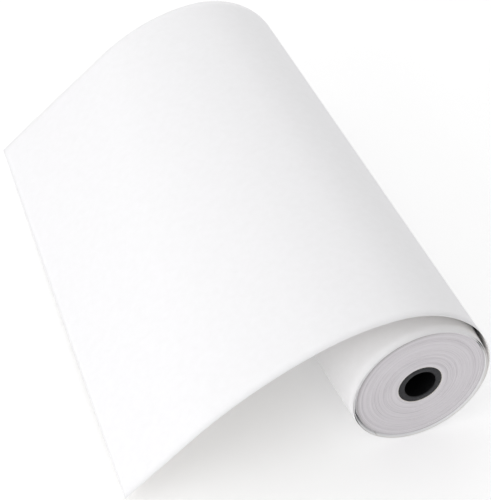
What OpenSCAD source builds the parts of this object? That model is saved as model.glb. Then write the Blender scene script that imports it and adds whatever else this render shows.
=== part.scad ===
// Short roll of white backdrop paper on a black plastic core.
// The last turn has sprung loose, and its leader is pulled back over the top of the roll
// and down to the surface that the roll lies on.
// The core lies along Y. X and Z are square to it, and the leader comes down on the -X side.
// The origin is on the core's axis, half-way along the roll.

/* [Roll] */
// Width of the paper
roll_w = 457; // [200:1:1400]
// Diameter over the slack turn, the outermost turn that still lies on the roll
roll_d = 111; // [90:1:130]
// Thickness at which a single layer of paper is modelled
sheet_t = 0.5; // [0.4:0.1:0.8]
// Longest flat by which a layer's curve is followed
facet_len = 4; // [1:0.5:6]

/* [Core] */
// Outer diameter of the core tube
core_d = 36.5; // [34:0.5:60]
// Bore of the core tube, which takes a one-inch bar
bore_d = 25.7; // [20:0.1:30]
// Depth by which each end of the core sits inside the paper's edges
core_recess = 1.5; // [0.6:0.1:4]
// Chamfer round the outer rim of the core
rim_chamfer = 0.9; // [0.3:0.1:1.2]
// Chamfer round the mouth of the bore
bore_chamfer = 0.6; // [0.3:0.1:1]

/* [Starter tape] */
// Number of tape strips that hold the first turn to the core
tape_count = 3; // [1:1:5]
// Width of each strip along the core
tape_w = 24; // [12:1:36]
// Part of the core's circumference that a strip covers, in degrees
tape_sweep = 80; // [40:5:150]
// Thickness of the tape
tape_t = 0.15; // [0.1:0.05:0.3]

/* [Wound paper] */
// Number of bands in which the turns' edges stand in or out at the ends of the roll
edge_bands = 26; // [6:1:40]
// Depth by which the innermost of those edges stand in
edge_depth = 0.5; // [0.1:0.1:1]
// Slack between the wound paper and the start of the slack turn
slack_gap = 0.2; // [0.05:0.05:0.4]
// Amount by which the slack turn opens in one turn
slack_rise = 0.4; // [0.2:0.1:0.6]

/* [Leader] */
// Running clearance between the roll and the loose turn round it
loose_gap = 0.4; // [0.3:0.1:1]
// Place round the roll where the loose turn leaves it, in degrees from +X
leave_angle = -125; // [-150:5:-100]
// Turn of the web that still hugs the roll, in degrees
hug_sweep = 94; // [60:1:110]
// Radius of the web up the side of the roll, in hug radii
side_ratio = 1.035; // [1:0.005:1.1]
// Turn of the web up the side, in degrees
side_sweep = 40; // [20:1:60]
// Radius of the web where it springs away from the roll, in hug radii
shoulder_ratio = 1.35; // [1.1:0.05:1.6]
// Turn of the web at the shoulder, in degrees
shoulder_sweep = 35; // [20:1:50]
// Radius of the web over the crest of the loop, in hug radii
crest_ratio = 1.52; // [1.3:0.02:2]
// Turn of the web over the crest, in degrees
crest_sweep = 52; // [40:1:60]
// Radius of the web where it starts down, in hug radii
fall_ratio = 3.2; // [2:0.1:5]
// Turn of the web where it starts down, in degrees
fall_sweep = 19; // [10:1:22]
// Radius of the web on the slope, in hug radii
slope_ratio = 5.7; // [4:0.1:8]
// Turn of the web on the slope, in degrees
slope_sweep = 19; // [10:1:22]

/* [Hidden] */
$fn = 96;

paper_white = [0.96, 0.96, 0.97];
edge_grey = [0.80, 0.80, 0.83];
core_black = [0.12, 0.12, 0.13];
tape_cream = [0.86, 0.80, 0.66];

core_r = core_d / 2;
bore_r = bore_d / 2;
tape_clear = 0.1;
tape_margin = 2;

// The slack turn is a two-centre spiral: each half turn has a slightly larger radius.
slack_out_r = roll_d / 2;
slack_end_r = slack_out_r - sheet_t / 2;
slack_start_r = slack_end_r - slack_rise;
slack_bends = [[slack_start_r, 180], [slack_start_r + slack_rise / 2, 179]];
pack_r = slack_start_r - sheet_t / 2 - slack_gap;

// The web as a chain of bends, each [radius, turn in degrees], from the roll to the slope.
hug_r = slack_out_r + loose_gap + sheet_t / 2;
web_bends = [
    [hug_r, hug_sweep],
    [hug_r * side_ratio, side_sweep],
    [hug_r * shoulder_ratio, shoulder_sweep],
    [hug_r * crest_ratio, crest_sweep],
    [hug_r * fall_ratio, fall_sweep],
    [hug_r * slope_ratio, slope_sweep]
];
arch_from = 3;
leader_from = 4;

// The surface that the roll lies on is under the loose turn's lowest line.
rest_z = -(hug_r + sheet_t / 2);

// Where a chain stands after its first n bends: its angle, and the centre of bend n.
function bend_angle(bends, first, n) =
    n == 0 ? first : bend_angle(bends, first, n - 1) + bends[n - 1][1];
function ray(angle) = [cos(angle), sin(angle)];
function bend_centre(bends, first, n) =
    n == 0 ? [0, 0]
    : bend_centre(bends, first, n - 1)
      + (bends[n - 1][0] - bends[n][0]) * ray(bend_angle(bends, first, n));

// Points along one face of bend n, side mm outside its middle line, in flats of facet_len.
function bend_steps(bend) = ceil(bend[0] * bend[1] * PI / 180 / facet_len);
function face_points(bends, first, n, side) = [
    for (i = [0:bend_steps(bends[n])])
        bend_centre(bends, first, n) + (bends[n][0] + side)
            * ray(bend_angle(bends, first, n) + bends[n][1] * i / bend_steps(bends[n]))
];
function chain_face(bends, first, from, to, side) =
    [for (n = [from:to], p = face_points(bends, first, n, side)) p];
function backwards(points) = [for (i = [len(points) - 1:-1:0]) points[i]];

// The flat stretch at the end of the leader, long enough for its cut edge to reach rest_z.
last_bend = len(web_bends) - 1;
end_angle = bend_angle(web_bends, leave_angle, len(web_bends));
end_ray = ray(end_angle);
down_slope = [-end_ray[1], end_ray[0]];
curve_end = bend_centre(web_bends, leave_angle, last_bend) + web_bends[last_bend][0] * end_ray;
flat_end_z = rest_z + sheet_t / 2 * abs(end_ray[1]);
flat_end = curve_end + down_slope * (flat_end_z - curve_end[1]) / down_slope[1];

// Steps of the turns' edges at the ends of the wound paper, from the core outwards.
function band_r(i) = core_r + (pack_r - core_r) * (i + 0.3 * sin(i * 77)) / edge_bands;
function band_in(i) = edge_depth * (0.5 + 0.5 * sin(i * i * 41 + 20)) * (1 - 0.4 * i / edge_bands);
function tape_y(i) = roll_w * ((i + 0.5) / tape_count - 0.5);

// Turns a shape that was drawn round Z so that it lies round Y, with X kept and Y sent to Z.
module round_y() {
    rotate([90, 0, 0])
        children();
}

// One layer of paper as wide as the roll, between the outlines of its two faces.
module layer(outer_face, inner_face) {
    round_y()
        linear_extrude(roll_w, center = true)
            polygon(concat(outer_face, backwards(inner_face)));
}

// Bends from..to of a chain as one layer. Each centre lies on the last ray, so the bends run on.
module layer_of_bends(bends, from, to) {
    layer(chain_face(bends, leave_angle, from, to, sheet_t / 2),
          chain_face(bends, leave_angle, from, to, -sheet_t / 2));
}

// A curved patch of tape on the core, centred on radius r and y, t thick and w wide.
module patch(r, y, first, sweep, t, w) {
    translate([0, y, 0])
        round_y()
            rotate([0, 0, first])
                rotate_extrude(angle = sweep)
                    translate([r - t / 2, -w / 2])
                        square([t, w]);
}

module core_tube() {
    half = roll_w / 2 - core_recess;
    color(core_black)
        round_y()
            rotate_extrude()
                polygon([
                    [bore_r + bore_chamfer, -half],
                    [core_r - rim_chamfer, -half],
                    [core_r, -half + rim_chamfer],
                    [core_r, half - rim_chamfer],
                    [core_r - rim_chamfer, half],
                    [bore_r + bore_chamfer, half],
                    [bore_r, half - bore_chamfer],
                    [bore_r, -half + bore_chamfer]
                ]);
}

module starter_tape() {
    color(tape_cream)
        for (i = [0:tape_count - 1])
            patch(core_r + tape_t / 2, tape_y(i), 0, tape_sweep, tape_t, tape_w);
}

// Pockets in the innermost turns, where the tape strips lie.
module tape_pockets() {
    for (i = [0:tape_count - 1])
        patch(core_r, tape_y(i), -tape_margin, tape_sweep + 2 * tape_margin,
              2 * (tape_t + tape_clear), tape_w + 2 * tape_margin);
}

module wound_pack() {
    half = roll_w / 2;
    near_edge = [for (i = [0:edge_bands - 1], k = [0, 1]) [band_r(i + k), -half + band_in(i)]];
    far_edge = [for (i = [edge_bands - 1:-1:0], k = [1, 0]) [band_r(i + k), half - band_in(i)]];
    color(edge_grey)
        difference() {
            round_y()
                rotate_extrude()
                    polygon(concat(near_edge, far_edge));
            tape_pockets();
        }
}

module slack_turn() {
    color(paper_white)
        layer_of_bends(slack_bends, 0, 1);
}

module loose_turn() {
    color(paper_white)
        layer_of_bends(web_bends, 0, arch_from - 1);
}

module web_arch() {
    color(paper_white)
        layer_of_bends(web_bends, arch_from, leader_from - 1);
}

// The slope ends in a flat stretch whose cut edge rests on the surface.
module leader() {
    outer_face = concat(
        chain_face(web_bends, leave_angle, leader_from, last_bend, sheet_t / 2),
        [flat_end + sheet_t / 2 * end_ray]
    );
    inner_face = concat(
        chain_face(web_bends, leave_angle, leader_from, last_bend, -sheet_t / 2),
        [flat_end - sheet_t / 2 * end_ray]
    );
    color(paper_white)
        layer(outer_face, inner_face);
}

core_tube();
starter_tape();
wound_pack();
slack_turn();
loose_turn();
web_arch();
leader();
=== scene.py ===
import math
import random

import bmesh
import bpy
from mathutils import Matrix, Vector, noise


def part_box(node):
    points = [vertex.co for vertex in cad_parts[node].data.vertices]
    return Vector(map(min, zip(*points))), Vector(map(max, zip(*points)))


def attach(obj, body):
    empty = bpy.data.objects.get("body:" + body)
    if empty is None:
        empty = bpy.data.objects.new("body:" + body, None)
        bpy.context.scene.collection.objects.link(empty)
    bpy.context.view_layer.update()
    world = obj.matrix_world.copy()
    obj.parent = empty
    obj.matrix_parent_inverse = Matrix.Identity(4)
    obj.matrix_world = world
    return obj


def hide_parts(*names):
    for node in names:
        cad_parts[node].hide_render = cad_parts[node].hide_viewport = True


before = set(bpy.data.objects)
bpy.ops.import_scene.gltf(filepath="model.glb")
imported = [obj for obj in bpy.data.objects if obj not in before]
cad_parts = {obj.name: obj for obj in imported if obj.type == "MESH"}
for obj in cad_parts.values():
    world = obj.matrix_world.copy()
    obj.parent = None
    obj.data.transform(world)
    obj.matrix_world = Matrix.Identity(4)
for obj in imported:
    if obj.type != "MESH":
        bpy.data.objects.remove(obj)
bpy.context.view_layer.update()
mm = 0.001
coreAxis = Vector((0, 1, 0))

looseLow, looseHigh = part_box("loose_turn")
packLow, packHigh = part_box("wound_pack")
coreLow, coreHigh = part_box("core_tube")
frontY, backY = looseLow.y, looseHigh.y
restZ = looseLow.z  # the surface that the roll lies on
hugRadius = -restZ  # outer face of the sheet where it hugs the roll
boreRadius = 12.85 * mm


class Amount:  # a socket with the number in it, so that maths reads as maths
    def __init__(self, look, socket):
        self.look = look
        self.socket = socket

    def sum(self, operation, first, second):
        made = self.look.node("ShaderNodeMath", {"operation": operation}, {0: first, 1: second})
        return Amount(self.look, made.outputs[0])

    def __add__(self, other):
        return self.sum("ADD", self, other)

    def __radd__(self, other):
        return self.sum("ADD", other, self)

    def __sub__(self, other):
        return self.sum("SUBTRACT", self, other)

    def __rsub__(self, other):
        return self.sum("SUBTRACT", other, self)

    def __mul__(self, other):
        return self.sum("MULTIPLY", self, other)

    def __rmul__(self, other):
        return self.sum("MULTIPLY", other, self)

    def __truediv__(self, other):
        return self.sum("DIVIDE", self, other)

    def __pow__(self, other):
        return self.sum("POWER", self, other)


class Look:  # one material and its nodes
    def __init__(self, name):
        self.material = bpy.data.materials.new(name)
        self.material.use_nodes = True
        self.nodes = self.material.node_tree.nodes
        self.links = self.material.node_tree.links
        self.surface = self.nodes["Principled BSDF"]

    def node(self, kind, settings, inputs):
        made = self.nodes.new(kind)
        for key, value in settings.items():
            if key == "stops":
                for place, (at, colour) in enumerate(value):
                    elements = made.color_ramp.elements
                    stop = elements[place] if place < 2 else elements.new(at)
                    stop.position = at
                    stop.color = colour
            else:
                setattr(made, key, value)
        for key, value in inputs.items():
            if isinstance(value, Amount):
                self.links.new(value.socket, made.inputs[key])
            elif isinstance(value, bpy.types.NodeSocket):
                self.links.new(value, made.inputs[key])
            else:
                made.inputs[key].default_value = value
        return made

    def place(self):
        return self.node("ShaderNodeTexCoord", {}, {}).outputs["Object"]

    def axes(self):
        split = self.node("ShaderNodeSeparateXYZ", {}, {0: self.place()})
        return [Amount(self, split.outputs[i]) for i in range(3)]

    def vector(self, x, y, z):
        return self.node("ShaderNodeCombineXYZ", {}, {0: x, 1: y, 2: z}).outputs[0]

    def cloud(self, where, scale, detail=3.0, rough=0.5):
        inputs = {"Vector": where, "Scale": scale, "Detail": detail, "Roughness": rough}
        return Amount(self, self.node("ShaderNodeTexNoise", {}, inputs).outputs[0])

    def ramp(self, value, stops):
        return self.node("ShaderNodeValToRGB", {"stops": stops}, {0: value}).outputs[0]

    def between(self, value, low, high, outLow, outHigh):
        inputs = {"Value": value, 1: low, 2: high, 3: outLow, 4: outHigh}
        return Amount(self, self.node("ShaderNodeMapRange", {}, inputs).outputs[0])

    def mix(self, share, first, second):
        settings = {"data_type": "RGBA"}
        return self.node("ShaderNodeMix", settings, {0: share, 6: first, 7: second}).outputs[2]

    def bump(self, height, distance, strength=1.0):
        inputs = {"Height": height, "Distance": distance, "Strength": strength}
        made = self.node("ShaderNodeBump", {}, inputs)
        self.links.new(made.outputs[0], self.surface.inputs["Normal"])

    def wire(self, name, value):
        self.links.new(value.socket if isinstance(value, Amount) else value, self.surface.inputs[name])

    def fix(self, **values):
        for name, value in values.items():
            self.surface.inputs[name.replace("_", " ")].default_value = value


def outward(point):  # from the core's axis to a point, square to the axis
    return Vector((point.x, 0, point.z))


def direction(degrees):
    angle = math.radians(degrees)
    return Vector((math.cos(angle), 0, math.sin(angle)))


def clamp(value):
    return min(1.0, max(0.0, value))


def latheTurn(bm, outline, segments):
    verts = [bm.verts.new(point) for point in outline]
    ring = [bm.edges.new(pair) for pair in zip(verts, verts[1:] + verts[:1])]
    bmesh.ops.spin(bm, geom=verts + ring, cent=(0, 0, 0), axis=coreAxis, dvec=(0, 0, 0),
                   angle=math.tau, steps=segments, use_merge=True)
    bmesh.ops.remove_doubles(bm, verts=bm.verts[:], dist=1e-6)
    bmesh.ops.recalc_face_normals(bm, faces=bm.faces[:])


def readyPiece(name, bm, looks, body):
    mesh = bpy.data.meshes.new(name)
    bm.to_mesh(mesh)
    bm.free()
    piece = bpy.data.objects.new(name, mesh)
    bpy.context.scene.collection.objects.link(piece)
    for look in looks:
        mesh.materials.append(look.material)
    for face in mesh.polygons:
        face.use_smooth = True
    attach(piece, body)
    return piece


# paper

paper = {
    "sheet": (0.915, 0.912, 0.925, 1.0),
    "sheetLow": (0.885, 0.880, 0.890, 1.0),
    # the two underside colours are painted shade: a darker, warmer copy of the paper for the sheet's
    # underside
    "undersideShade": (0.890, 0.872, 0.850, 1.0),
    "undersideShadeLow": (0.860, 0.840, 0.815, 1.0),
    "mottleScale": 160.0,
    "fibreScale": 2600.0,
    "roughLow": 0.72,
    "roughHigh": 0.9,
    "toothDepth": 0.03 * mm,
}


def paperSheetLook(name, low, high):
    look = Look(name)
    where = look.place()
    mottle = look.cloud(where, paper["mottleScale"], 4.0, 0.6)
    fibre = look.cloud(where, paper["fibreScale"], 2.0, 0.6)
    tone = mottle * 0.6 + fibre * 0.4
    look.wire("Base Color", look.ramp(tone, [(0.3, paper[low]), (0.65, paper[high])]))
    look.wire("Roughness", look.between(fibre, 0.2, 0.8, paper["roughLow"], paper["roughHigh"]))
    look.bump(fibre * 0.7 + mottle * 0.3, paper["toothDepth"])
    look.fix(Specular_IOR_Level=0.35)
    return look


edges = {
    "light": (0.690, 0.664, 0.690, 1.0),
    "middle": (0.640, 0.614, 0.640, 1.0),
    "dark": (0.430, 0.410, 0.430, 1.0),
    "cream": (0.86, 0.82, 0.74, 1.0),
    "creamReach": 0.4 * mm,
    "rimPaintedShade": (0.36, 0.345, 0.350, 1.0),  # painted shade on the outermost turns, on the side where they stand open
    "rimReach": 3.2 * mm,
    "rimShift": 0.6 * mm,  # half of how far the outermost turns hang, see wound
    "fineLines": 1900.0,
    "broadLines": 950.0,
    "turnSpacing": 1.05 * mm,
    "wander": 1.2,
    "lineStrength": 0.10,
    "swirl": 0.35,
    "lineDepth": 0.08 * mm,
}


def paperEdgesLook():
    look = Look("paperEdges")
    x, y, z = look.axes()
    radius = (x * x + z * z) ** 0.5
    aroundX = x / radius * edges["swirl"]
    aroundZ = z / radius * edges["swirl"]
    fine = look.cloud(look.vector(radius * edges["fineLines"], aroundX, aroundZ), 1.0, 2.0, 0.7)
    broad = look.cloud(look.vector(radius * edges["broadLines"], aroundX, aroundZ), 1.0, 3.0, 0.55)
    patches = look.cloud(look.place(), 45.0, 2.0)
    phase = radius * (math.tau / edges["turnSpacing"]) + broad * edges["wander"]
    beat = Amount(look, look.node("ShaderNodeMath", {"operation": "SINE"}, {0: phase}).outputs[0])
    lines = look.between(beat, 0.55, 1.0, 0.0, 1.0) * look.between(patches, 0.4, 0.62, 0.1, 1.0)
    tone = fine * 0.6 + broad * 0.4 - lines * edges["lineStrength"]
    stops = [(0.26, edges["dark"]), (0.43, edges["middle"]), (0.60, edges["light"])]
    lined = look.ramp(tone, stops)
    nearCore = look.between(radius, coreHigh.x, coreHigh.x + edges["creamReach"], 1.0, 0.0)
    # painted shade: a darker band along the outer rim of the end, strongest towards -x and up, standing
    # in for the shadow where the outer turns stand open
    shiftedX = x - edges["rimShift"] * 0.87
    shiftedZ = z + edges["rimShift"] * 0.5
    reach = (shiftedX * shiftedX + shiftedZ * shiftedZ) ** 0.5
    rimR = packHigh.x - edges["rimShift"]
    rim = look.between(reach, rimR - edges["rimReach"], rimR, 0.0, 1.0)
    side = look.between((z * 0.5 - x * 0.87) / radius, -0.1, 0.7, 0.15, 0.9)
    shaded = look.mix(rim * side, lined, edges["rimPaintedShade"])
    look.wire("Base Color", look.mix(nearCore, shaded, edges["cream"]))
    look.wire("Roughness", look.between(fine, 0.2, 0.8, 0.75, 0.95))
    look.bump(fine * 0.6 + broad * 0.4, edges["lineDepth"])
    look.fix(Specular_IOR_Level=0.25)
    return look


plastic = {
    "black": (0.014, 0.014, 0.017, 1.0),
    "worn": (0.026, 0.026, 0.029, 1.0),
    # inside is painted shade for the bore wall
    "inside": (0.0035, 0.0035, 0.004, 1.0),
    "boreReach": 0.9 * mm,
    "drawLines": 900.0,
    "drawAlong": 14.0,
    "drawDepth": 0.12 * mm,
}


def coreLook():
    look = Look("blackPlastic")
    x, y, z = look.axes()
    speckle = look.cloud(look.place(), 700.0, 4.0, 0.65)
    lengthwise = look.vector(x * plastic["drawLines"], y * plastic["drawAlong"], z * plastic["drawLines"])
    drawn = look.cloud(lengthwise, 1.0, 3.0)
    outside = look.ramp(speckle * 0.5 + drawn * 0.5, [(0.4, plastic["black"]), (0.7, plastic["worn"])])
    radius = (x * x + z * z) ** 0.5
    # painted shade: the bore wall and its chamfer darkened to near black, as shade falls in the hole
    shade = look.between(radius, boreRadius, boreRadius + plastic["boreReach"], 1.0, 0.0)
    look.wire("Base Color", look.mix(shade, outside, plastic["inside"]))
    look.wire("Roughness", look.between(speckle, 0.3, 0.7, 0.28, 0.5))
    look.bump(drawn * 0.7 + speckle * 0.3, plastic["drawDepth"])
    look.fix(Specular_IOR_Level=0.2)
    return look


tape = {"light": (0.82, 0.74, 0.55, 1.0), "dark": (0.70, 0.60, 0.40, 1.0), "crepeDepth": 0.05 * mm}


def tapeLook():
    look = Look("starterTapePaper")
    crepe = look.cloud(look.place(), 900.0, 3.0)
    look.wire("Base Color", look.ramp(crepe, [(0.35, tape["dark"]), (0.65, tape["light"])]))
    look.wire("Roughness", look.between(crepe, 0.2, 0.8, 0.6, 0.85))
    look.bump(crepe, tape["crepeDepth"])
    return look


paperLook = paperSheetLook("whitePaper", "sheetLow", "sheet")
# painted shade: the sheet's underside gets this darker, warmer copy of the paper
paintedShadeUndersideLook = paperSheetLook("whitePaperPaintedShade", "undersideShadeLow", "undersideShade")
edgeLook = paperEdgesLook()
plasticLook = coreLook()
tapeMaterial = tapeLook()
print("materials ready")

# the sheet: two rails of bends, one at each end of the roll, lofted into one layer

sheet = {
    "thickness": 0.25 * mm,
    "joinAngle": -100.0,  # degrees, where the loosened inner turn passes under the roll
    "step": 3.0 * mm,
    "across": 60,
    # each bend is its radius as a share of hugRadius, and how far it turns in degrees
    "frontBends": [(1, 45), (1.055, 64), (1.30, 35), (1.52, 51), (3.2, 19), (6.2, 19), (100, 0.68)],
    "backBends": [(1, 68.5), (1.045, 40), (1.4, 36), (1.477, 53), (2.7, 17.2), (3.3, 16.8), (100, 1.39)],
    "innerTurn": 300.0,  # degrees, as are bulgeTurn, riseFrom and riseTurn
    "bulgeTurn": 210.0,
    "innerDrop": 0.36 * mm,  # how far the inner turn closes in on the roll by its start
    "bulge": 11.0 * mm,
    "bulgeDepth": 80.0 * mm,
    "rise": 3.6 * mm,  # and how far it lifts towards the loose turn, behind the crest
    "riseFrom": 170.0,
    "riseTurn": 90.0,
    "riseDepth": 25.0 * mm,
    "riseFade": 100.0 * mm,
    "waveLength": 0.13,
    "waveHeight": 0.7 * mm,
    "waveShift": (3.1, 0.4, 7.7),
    "looseFrom": 20.0 * mm,
    "looseReach": 120.0 * mm,
    "groundReach": 20.0 * mm,
}


def spinRail(bm, bends, y, steps, way):
    angle = sheet["joinAngle"]
    centre = coreAxis * y
    radius = hugRadius
    tip = bm.verts.new(centre + radius * direction(angle))
    for (ratio, turn), count in zip(bends, steps):
        centre += (radius - hugRadius * ratio) * direction(angle)
        radius = hugRadius * ratio
        for _ in range(count):
            made = bmesh.ops.spin(bm, geom=[tip], cent=centre, axis=-way * coreAxis, dvec=(0, 0, 0),
                                  angle=math.radians(turn / count), steps=1, use_duplicate=False)
            tip = next(part for part in made["geom_last"] if isinstance(part, bmesh.types.BMVert))
        angle += way * turn


def loftPanel(frontBends, backBends, way):
    bm = bmesh.new()
    lengths = [hugRadius * ratio * math.radians(turn) for ratio, turn in frontBends]
    steps = [max(2, round(length / sheet["step"])) for length in lengths]
    spinRail(bm, frontBends, frontY, steps, way)
    spinRail(bm, backBends, backY, steps, way)
    bmesh.ops.bridge_loops(bm, edges=bm.edges[:])
    crossing = [e for e in bm.edges if abs(e.verts[0].co.y - e.verts[1].co.y) > 0.1]
    bmesh.ops.subdivide_edges(bm, edges=crossing, cuts=sheet["across"] - 1, use_grid_fill=True)
    bm.normal_update()
    centres = [face.calc_center_median() for face in bm.faces]
    lowest = min(zip(centres, bm.faces), key=lambda pair: abs(pair[0].x) + pair[0].z)[1]
    if lowest.normal.z > 0:
        bmesh.ops.reverse_faces(bm, faces=bm.faces[:])
    bm.normal_update()
    return bm


def makeInnerTurn():
    bends = [(1, sheet["innerTurn"])]
    bm = loftPanel(bends, bends, -1)
    for vert in bm.verts:
        behind = math.degrees(math.atan2(vert.co.z, vert.co.x)) - sheet["joinAngle"]
        back = (-behind + 1.0) % 360 - 1.0
        inside = vert.co.y - frontY
        share = clamp(back / sheet["innerTurn"])
        swell = clamp(back / sheet["bulgeTurn"])
        depth = 1 - math.exp(-inside / sheet["bulgeDepth"])
        lift = sheet["bulge"] * depth * math.sin(math.pi * swell) ** 2 - sheet["innerDrop"] * share
        crest = clamp((back - sheet["riseFrom"]) / sheet["riseTurn"])
        nearby = (1 - math.exp(-inside / sheet["riseDepth"])) * math.exp(-inside / sheet["riseFade"])
        lift += sheet["rise"] * nearby * math.sin(math.pi * crest) ** 2
        vert.co += outward(vert.co).normalized() * lift
    return bm


def makeOuterTurn():
    bm = loftPanel(sheet["frontBends"], sheet["backBends"], 1)
    for vert in bm.verts:
        across = outward(vert.co)
        if across.length < hugRadius:  # a straight line between the rails would cut into the roll
            vert.co += across.normalized() * (hugRadius - across.length)
        underRoll = vert.co.z <= -30 * mm and vert.co.x >= -50 * mm
        loose = 0.0 if underRoll else clamp((sheet["looseFrom"] - vert.co.x) / sheet["looseReach"])
        raised = clamp((vert.co.z - restZ) / sheet["groundReach"])
        wave = noise.noise(vert.co / sheet["waveLength"] + Vector(sheet["waveShift"]))
        vert.co += vert.normal * wave * loose * raised * sheet["waveHeight"]
        below = sheet["thickness"] * 1.1 if vert.normal.z > 0 else 0.0
        vert.co.z = max(vert.co.z, restZ + below)
    return bm


def makeSheet():
    bm = bmesh.new()
    for panel in (makeInnerTurn(), makeOuterTurn()):
        part = bpy.data.meshes.new("panel")
        panel.to_mesh(part)
        panel.free()
        bm.from_mesh(part)
        bpy.data.meshes.remove(part)
    bmesh.ops.remove_doubles(bm, verts=bm.verts[:], dist=0.05 * mm)
    bm.normal_update()
    flat = sum(face.calc_area() for face in bm.faces) / (backY - frontY)
    piece = readyPiece("paperSheet", bm, [paperLook, paintedShadeUndersideLook], "sheet")
    shell = piece.modifiers.new("paperThickness", "SOLIDIFY")
    shell.thickness = sheet["thickness"]
    shell.offset = -1.0
    shell.material_offset = 1
    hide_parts("loose_turn", "web_arch", "leader")
    print("sheet ready, length", round(flat, 4), "vertices", len(piece.data.vertices))


makeSheet()

# the wound paper: one lathe-turned body whose ends show the turns standing in and out

wound = {
    "segments": 160,
    "turnGroups": 90,
    "groupEdge": 0.06,  # share of a group that steps to the next one
    "stepDepth": 0.16 * mm,
    "dish": 0.14 * mm,
    "waviness": 0.08 * mm,
    "waveAcross": 420,
    "waveAround": 9,
    "rim": 0.12 * mm,
    "faceIn": 1.15 * mm,
    "lip": 3.2 * mm,
    "lipDepth": 0.15 * mm,
    "hang": 1.2 * mm,  # the tight turns hang low inside the slack one, so a crevice opens at this angle
    "hangAngle": 150.0,
    "hangReach": 6.0 * mm,
    "seed": 11,
}


def endSteps(draw, innerR, outerR):
    edge = []
    radius = innerR
    spans = [draw.uniform(0.4, 1.6) for _ in range(wound["turnGroups"])]
    whole = sum(spans)
    for span in spans:
        depth = draw.random() ** 1.6 * wound["stepDepth"]
        share = (radius - innerR) / (outerR - innerR)
        depth += wound["dish"] * (1 - share)
        depth += wound["lipDepth"] * min(1.0, (outerR - radius) / wound["lip"])
        wide = span / whole * (outerR - innerR)
        edge.append((radius + wide * wound["groupEdge"], depth))
        edge.append((radius + wide * (1 - wound["groupEdge"]), depth))
        radius += wide
    return edge


def makeWoundPaper():
    draw = random.Random(wound["seed"])
    innerR = coreHigh.x
    outerR = packHigh.x
    bm = bmesh.new()
    nearFace = frontY + wound["faceIn"]
    farFace = backY - wound["faceIn"]
    front = [Vector((r, nearFace + depth, 0)) for r, depth in endSteps(draw, innerR, outerR)]
    back = [Vector((r, farFace - depth, 0)) for r, depth in endSteps(draw, innerR, outerR)]
    front[0].x = innerR
    back[0].x = innerR
    outline = front + [Vector((outerR, front[-1].y + wound["rim"], 0))]
    outline += [Vector((outerR, back[-1].y - wound["rim"], 0))] + back[::-1]
    latheTurn(bm, outline, wound["segments"])
    for vert in bm.verts:
        across = outward(vert.co)
        onEnd = abs(abs(vert.co.y) - backY) < 3 * mm
        if onEnd and innerR * 1.01 < across.length < outerR * 0.998:
            around = across * wound["waveAround"]
            swell = noise.noise(Vector((across.length * wound["waveAcross"], around.x, around.z)))
            vert.co.y += swell * wound["waviness"]
        toward = math.atan2(across.z, across.x) - math.radians(wound["hangAngle"])
        outer = max(0.0, 1 - (outerR - across.length) / wound["hangReach"])
        vert.co -= across.normalized() * wound["hang"] * outer * (1 + math.cos(toward)) / 2
    bm.normal_update()
    for face in bm.faces:
        sideways = abs(face.normal.y) < 0.5
        radius = outward(face.calc_center_median()).length
        face.material_index = 0 if sideways and radius > outerR * 0.93 else 1
    piece = readyPiece("woundPaper", bm, [paperLook, edgeLook], "roll")
    piece.data.set_sharp_from_angle(angle=math.radians(35))
    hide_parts("wound_pack")
    print("wound paper ready, vertices", len(piece.data.vertices))


makeWoundPaper()

# the slack turn: the last layer that still lies on the roll, opening a little as it goes round

slack = {
    "thickness": 0.25 * mm,
    "across": 24,
    "steps": 90,
    "gap": 0.45 * mm,
    "start": -125.0,
    "halves": [(1.0, 180), (1.0036, 179)],  # share of the start radius, degrees
}


def makeSlackTurn():
    bm = bmesh.new()
    startR = packHigh.x + slack["gap"]
    angle = slack["start"]
    centre = Vector((0, 0, 0))
    radius = startR
    ends = [direction(angle) * radius + coreAxis * y for y in (frontY, backY)]
    line = bm.edges.new([bm.verts.new(point) for point in ends])
    bmesh.ops.subdivide_edges(bm, edges=[line], cuts=slack["across"] - 1)
    tip = list(bm.edges) + list(bm.verts)
    for ratio, turn in slack["halves"]:
        centre += (radius - startR * ratio) * direction(angle)
        radius = startR * ratio
        made = bmesh.ops.spin(bm, geom=tip, cent=centre, axis=-coreAxis, dvec=(0, 0, 0),
                              angle=math.radians(turn), steps=slack["steps"], use_duplicate=False)
        tip = made["geom_last"]
        angle += turn
    bm.normal_update()
    lowest = min(bm.faces, key=lambda face: face.calc_center_median().z)
    if lowest.normal.z > 0:
        bmesh.ops.reverse_faces(bm, faces=bm.faces[:])
    piece = readyPiece("slackTurn", bm, [paperLook], "roll")
    shell = piece.modifiers.new("paperThickness", "SOLIDIFY")
    shell.thickness = slack["thickness"]
    shell.offset = 1.0
    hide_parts("slack_turn")
    print("slack turn ready")


makeSlackTurn()

# the core

core = {"segments": 128, "outerChamfer": 0.9 * mm, "boreChamfer": 0.6 * mm, "chamferSteps": 3}


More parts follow.
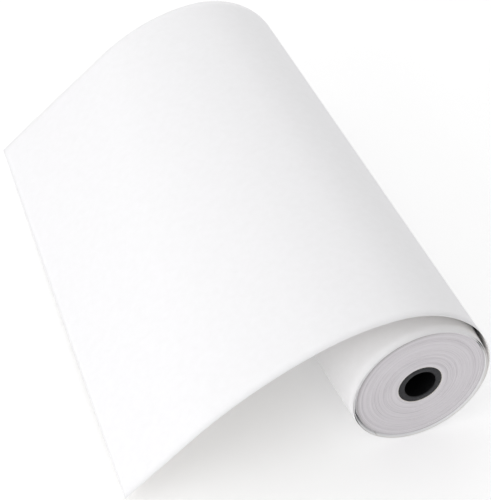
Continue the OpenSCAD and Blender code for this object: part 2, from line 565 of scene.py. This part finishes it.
def makeCore():
    bm = bmesh.new()
    outerR = coreHigh.x
    nearEnd, farEnd = coreLow.y, coreHigh.y
    corners = [(boreRadius, nearEnd), (outerR, nearEnd), (outerR, farEnd), (boreRadius, farEnd)]
    latheTurn(bm, [(r, y, 0) for r, y in corners], core["segments"])
    rims = [e for e in bm.edges if abs(e.verts[0].co.y - e.verts[1].co.y) < 1e-6
            and abs(e.verts[0].co.xz.length - e.verts[1].co.xz.length) < 1e-6]
    outerRims = [e for e in rims if e.verts[0].co.xz.length > outerR * 0.9]
    boreRims = [e for e in rims if e.verts[0].co.xz.length < outerR * 0.9]
    for wide, part in ((core["outerChamfer"], outerRims), (core["boreChamfer"], boreRims)):
        bmesh.ops.bevel(bm, geom=part, offset=wide, offset_type="OFFSET", affect="EDGES",
                        segments=core["chamferSteps"], profile=0.5, material=-1)
    piece = readyPiece("coreTube", bm, [plasticLook], "roll")
    piece.data.set_sharp_from_angle(angle=math.radians(40))
    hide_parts("core_tube")
    print("core ready, vertices", len(piece.data.vertices))


makeCore()

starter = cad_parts["starter_tape"]
starter.data.materials.clear()
starter.data.materials.append(tapeMaterial.material)

# floor, light and camera

stage = {"floorSize": 8.0, "floor": (0.98, 0.98, 0.98, 1.0), "glow": 0.16, "world": 0.70}


def makeStage():
    bm = bmesh.new()
    bmesh.ops.create_grid(bm, x_segments=1, y_segments=1, size=stage["floorSize"] / 2)
    bmesh.ops.translate(bm, vec=(0, 0, restZ), verts=bm.verts[:])
    mesh = bpy.data.meshes.new("floor")
    bm.to_mesh(mesh)
    bm.free()
    floor = bpy.data.objects.new("floor", mesh)
    bpy.context.scene.collection.objects.link(floor)
    look = Look("paleFloor")
    look.fix(Base_Color=stage["floor"], Roughness=0.9, Specular_IOR_Level=0.1)
    look.fix(Emission_Color=stage["floor"], Emission_Strength=stage["glow"])
    mesh.materials.append(look.material)
    world = bpy.data.worlds.new("studio")
    world.use_nodes = True
    sky = world.node_tree.nodes["Background"]
    sky.inputs[0].default_value = (1, 1, 1, 1)
    sky.inputs[1].default_value = stage["world"]
    bpy.context.scene.world = world


lights = {
    "key": {"at": (-1.8, -0.75, 0.7), "size": 1.1, "power": 10.0},
    "top": {"at": (-0.9, 0.5, 1.7), "size": 2.0, "power": 6.5},
    "back": {"at": (0.25, 1.7, 0.22), "size": 0.7, "power": 6.0},
}


def makeLights():
    aim = Vector((-0.05, 0, 0))
    for name, how in lights.items():
        lamp = bpy.data.lights.new(name, "AREA")
        lamp.size = how["size"]
        lamp.energy = how["power"]
        holder = bpy.data.objects.new(name, lamp)
        holder.location = how["at"]
        holder.rotation_mode = "QUATERNION"
        holder.rotation_quaternion = (aim - Vector(how["at"])).to_track_quat("-Z", "Y")
        bpy.context.scene.collection.objects.link(holder)


camera = {
    "at": (-0.4085, -0.8555, 0.7555),
    "heading": 22.27,
    "down": 40.62,
    "roll": 3.69,
    "lens": 99.0,
}


def makeCamera():
    eye = bpy.data.cameras.new("camera")
    eye.lens = camera["lens"]
    eye.sensor_width = 36.0
    eye.clip_start = 0.05
    holder = bpy.data.objects.new("camera", eye)
    turn = Matrix.Rotation(math.radians(-camera["heading"]), 4, "Z")
    turn = turn @ Matrix.Rotation(math.radians(90 - camera["down"]), 4, "X")
    turn = turn @ Matrix.Rotation(math.radians(camera["roll"]), 4, "Z")
    holder.matrix_world = Matrix.Translation(camera["at"]) @ turn
    bpy.context.scene.collection.objects.link(holder)
    bpy.context.scene.camera = holder


makeStage()
makeLights()
makeCamera()
bpy.context.scene.view_settings.view_transform = "Standard"
print("stage, lights and camera ready")
